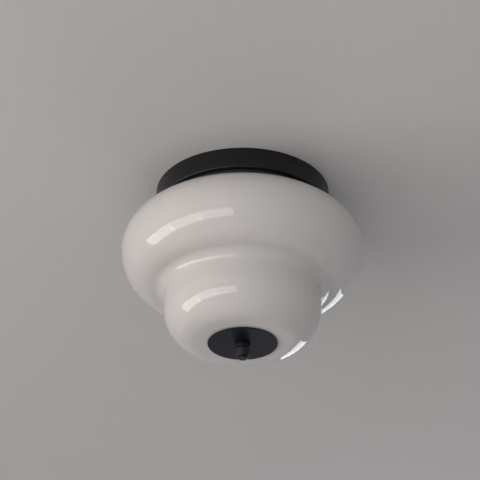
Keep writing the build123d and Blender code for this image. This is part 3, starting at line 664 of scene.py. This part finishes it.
def turned_finial():
    """Turned knob: flange, groove, rounded body that narrows downwards, and a button at its foot.
    It stays hollow for the stem, and its sharp arrises are broken.
    """
    top, foot = box_of("finial")[1][2], box_of("finial")[0][2]
    flange = top - FINIAL_FLANGE_HEIGHT
    neck, widest, body, groove = top - 5.8, top - 7.6, top - 17.6, top - 18.1
    lathe(
        "turned_finial",
        "finial",
        (FINIAL_BORE, top, 0.3),
        (FINIAL_FLANGE_RADIUS, top, 0.6),
        (FINIAL_FLANGE_RADIUS, flange, 1.0),
        (FINIAL_NECK_RADIUS, flange, 0.15),
        (FINIAL_NECK_RADIUS, neck, 0.3),
        (FINIAL_BODY_RADIUS, widest, 1.6),
        (FINIAL_BODY_FOOT_RADIUS, body, 0.8),
        (FINIAL_GROOVE_RADIUS, body, 0.1),
        (FINIAL_GROOVE_RADIUS, groove, 0.1),
        (FINIAL_BUTTON_RADIUS, groove, 0.3),
        (FINIAL_BUTTON_RADIUS, foot, 1.2),
        (0, foot),
        (0, top - FINIAL_BORE_DEPTH),
        (FINIAL_BORE, top - FINIAL_BORE_DEPTH, 0.3),
    )


def holder_places():
    """Centres of the three lampholders on their pitch circle, numbered from 1."""
    for k, angle in enumerate(HOLDER_ANGLES, 1):
        turn = math.radians(angle)
        yield k, (HOLDER_PITCH_RADIUS * math.cos(turn), HOLDER_PITCH_RADIUS * math.sin(turn))


def threaded_pieces():
    """Stem and nipples as M10 x 1 tubes."""
    low, high = box_of("stem_rod")
    stem = threaded_tube(high[0], STEM_BORE_RADIUS, M10_PITCH, M10_THREAD_DEPTH, low[2], high[2], (0, 0))
    stand_in("threaded_stem", "stem_rod", stem)
    low, high = box_of("holder_nipples")
    outer = high[1] - HOLDER_PITCH_RADIUS
    tubes = [
        threaded_tube(outer, NIPPLE_BORE_RADIUS, M10_PITCH, M10_THREAD_DEPTH, low[2], high[2], centre)
        for k, centre in holder_places()
    ]
    stand_in("threaded_nipples", "holder_nipples", *tubes)


def lampholder_cap(k, centre):
    """Moulded cap: collar, dome and a side with upright ribs for the hand."""
    low, high = box_of(f"lampholder_{k}_cap")
    top, rim, outer = high[2], low[2], high[0] - centre[0]
    inner, under = outer - HOLDER_CAP_WALL, top - HOLDER_DOME_HEIGHT
    outline = rounded(
        (HOLDER_BORE, top, 0.2),
        (HOLDER_COLLAR_RADIUS, top, 0.6),
        (HOLDER_COLLAR_RADIUS, top - HOLDER_COLLAR_HEIGHT, 1.5),
        (outer, under, 4.0),
        (outer, rim, 0.3),
        (inner, rim, 0.2),
        (inner, under - 0.9, 2.5),
        (HOLDER_COLLAR_RADIUS, top - HOLDER_COLLAR_DEPTH, 0.4),
        (HOLDER_BORE, top - HOLDER_COLLAR_DEPTH, 0.2),
    )
    side = np.flatnonzero((outline[:-1, 0] > outer - 0.01) & (outline[1:, 0] > outer - 0.01))
    longest = side[np.argmax(np.abs(np.diff(outline[:, 1]))[side])]
    rows = straight(outline[longest], outline[longest + 1], 16)[1:-1]
    outline = np.vstack([outline[: longest + 1], rows, outline[longest + 1 :]])
    relief = ribs(RIB_COUNT, RIB_DEPTH, rim + 0.6, under - 3.0, outer - ON_FACE)
    stand_in(f"ribbed_cap_{k}", f"lampholder_{k}_cap", revolved(outline, RIB_STEPS, relief, centre))


def screw_shell(k, centre):
    """Rolled brass shell of the lampholder, with the round thread that the lamp screws into."""
    low, high = box_of(f"lampholder_{k}_screw_shell")
    outer = high[0] - centre[0]
    inner = outer - SCREW_SHELL_WALL
    outline = np.vstack([
        straight((outer, low[2]), (outer, high[2]), SHELL_ROWS),
        straight((inner, high[2]), (inner, low[2]), SHELL_ROWS),
    ])
    ends = low[2] + SHELL_PLAIN_END, high[2] - SHELL_PLAIN_END
    relief = rolled_thread(SHELL_THREAD_DEPTH, *ends, 0.0)
    name = f"lampholder_{k}_screw_shell"
    stand_in(f"rolled_shell_{k}", name, revolved(outline, SMALL_STEPS, relief, centre))


def lamp_cap(k, centre):
    """Rolled screw cap of a lamp: plain where it grips the housing, round thread above, then the
    shoulder that holds the black insulator.
    """
    low, high = box_of(f"bulb_{k}_cap")
    outer, under, top = high[0] - centre[0], low[2], high[2]
    inner, shoulder = outer - CAP_SHEET, high[2] - CAP_SHOULDER
    rim, flange = outer - CAP_SHOULDER, outer - 2 * CAP_SHOULDER
    outline = np.vstack([
        straight((outer, under), (outer, shoulder), CAP_ROWS),
        [(rim, top), (flange, top), (flange, top - CAP_SHEET), (rim - 0.2, top - CAP_SHEET)],
        straight((inner, shoulder - 0.2), (inner, under), CAP_ROWS),
    ])
    relief = rolled_thread(CAP_THREAD_DEPTH, under + CAP_CRIMP, shoulder - 0.3, inner - ON_FACE)
    stand_in(f"rolled_lamp_cap_{k}", f"bulb_{k}_cap", revolved(outline, SMALL_STEPS, relief, centre))


shade()
disc_and_pad()
gasket()
turned_finial()
threaded_pieces()
for k, centre in holder_places():
    lampholder_cap(k, centre)
    screw_shell(k, centre)
    lamp_cap(k, centre)


# Stage, light and camera
CEILING_RADIUS = 3200.0
CEILING_HOLE = 107.9
FLOOR_DROP = 2400.0
LIGHT_DISTANCE = 2900.0
LIGHT_DROP = 110.0
WORLD_LIGHT = (0.33, 0.33, 0.36, 1)


def flat_ring(name, inner, outer, height, finish_made, facing=-1):
    """A flat ring, or a disc, in the plane of one height; facing -1 looks down."""
    angle = np.arange(WIDE_STEPS) * TURN / WIDE_STEPS
    rim = np.stack([np.cos(angle), np.sin(angle), np.zeros_like(angle)], axis=1)
    lift = np.array([0, 0, height])
    points = np.vstack([rim * inner + lift, rim * outer + lift])
    here = np.arange(WIDE_STEPS)
    beside = np.roll(here, -1)
    quads = np.stack([here, beside, beside + WIDE_STEPS, here + WIDE_STEPS], axis=1)
    if facing > 0:
        quads = quads[:, ::-1]
    thing = placed(name, mesh_of(name, (points, [quads])), finish_made)


def plaster(name, tone, see_through_back):
    """Painted plaster with a fine roller texture; its back can let the view and the light through."""
    material = finish(name, tone, tuple(0.985 * c for c in tone), (0.85, 0.95), 0.0, 2.0, (420.0, 0.25), 0.0)
    tree = material.node_tree
    if see_through_back:
        shader = tree.nodes["Principled BSDF"]
        out = tree.nodes["Material Output"]
        back = add(tree, "ShaderNodeNewGeometry").outputs["Backfacing"]
        clear = add(tree, "ShaderNodeBsdfTransparent")
        both = add(tree, "ShaderNodeMixShader", {0: back, 1: shader.outputs[0], 2: clear.outputs[0]})
        tree.links.new(both.outputs[0], out.inputs["Surface"])
    return material


def direction(azimuth, elevation):
    """Unit vector: azimuth 0 looks away from the camera and 90 to the right, elevation above level."""
    a, e = math.radians(azimuth), math.radians(elevation)
    return Vector((math.sin(a) * math.cos(e), math.cos(a) * math.cos(e), math.sin(e)))


def softbox(name, azimuth, elevation, width, height, level, tint, mirrored):
    """A flat soft light of width x height degrees as seen from the lamp, facing it.

    A mirrored one shows in polished surfaces as a real softbox does; a fill only lights them.
    """
    light = bpy.data.lights.new(name, "AREA")
    light.shape = "RECTANGLE"
    light.size = 2 * LIGHT_DISTANCE * MM * math.tan(math.radians(width / 2))
    light.size_y = 2 * LIGHT_DISTANCE * MM * math.tan(math.radians(height / 2))
    light.energy = level * math.pi * light.size * light.size_y
    light.color = tint
    thing = bpy.data.objects.new(name, light)
    bpy.context.scene.collection.objects.link(thing)
    away = direction(azimuth, elevation)
    thing.rotation_mode = "QUATERNION"
    thing.rotation_quaternion = away.to_track_quat("Z", "Y")
    thing.location = away * LIGHT_DISTANCE * MM + Vector((0, 0, -LIGHT_DROP * MM))
    thing.visible_camera = False
    thing.visible_glossy = mirrored


WARM_WHITE = (1.0, 0.95, 0.93)
COOL_WHITE = (0.95, 0.98, 1.0)

# Plain studio light in round values: a row of three softboxes on the left, one small one at the far
# right, and two fills. Name, azimuth, elevation, width, height, level, tint, mirrored.
SOFTBOXES = [
    ("left_softbox", -95, -20, 30, 20, 4.0, WARM_WHITE, True),
    ("left_near_softbox", -125, -20, 30, 20, 3.0, WARM_WHITE, True),
    ("near_left_softbox", -155, -20, 30, 20, 2.5, WARM_WHITE, True),
    ("far_softbox", 15, -10, 15, 20, 3.0, COOL_WHITE, True),
    ("near_fill", 180, -20, 50, 15, 1.5, COOL_WHITE, False),
    ("far_fill", 20, -20, 50, 15, 1.0, COOL_WHITE, False),
]
for box in SOFTBOXES:
    softbox(*box)

flat_ring("ceiling", CEILING_HOLE, CEILING_RADIUS, 0, plaster("ceiling_plaster", (0.60, 0.585, 0.57), True))
flat_ring("floor", 0.0, CEILING_RADIUS, -FLOOR_DROP, plaster("pale_floor", (0.55, 0.54, 0.53), False), 1)

world = bpy.data.worlds.new("soft_room")
world.use_nodes = True
world.node_tree.nodes["Background"].inputs["Color"].default_value = WORLD_LIGHT
world.node_tree.nodes["Background"].inputs["Strength"].default_value = 1.0
bpy.context.scene.world = world


def camera():
    """Camera at a fixed distance from its target, looking along +Y and up."""
    ahead = Vector((0, math.cos(CAMERA_RISE), math.sin(CAMERA_RISE)))
    right = Vector((1, 0, 0))
    up = right.cross(ahead)
    place = (Vector(CAMERA_TARGET) - CAMERA_DISTANCE * ahead) * MM
    data = bpy.data.cameras.new("photo_camera")
    data.lens = CAMERA_LENS
    data.sensor_width = SENSOR_WIDTH
    data.clip_start, data.clip_end = 0.05, 20.0
    thing = bpy.data.objects.new("photo_camera", data)
    bpy.context.scene.collection.objects.link(thing)
    columns = Matrix((right, up, -ahead)).transposed()
    thing.matrix_world = Matrix.Translation(place) @ columns.to_4x4()
    bpy.context.scene.camera = thing


camera()
bpy.context.scene.view_settings.view_transform = "Standard"
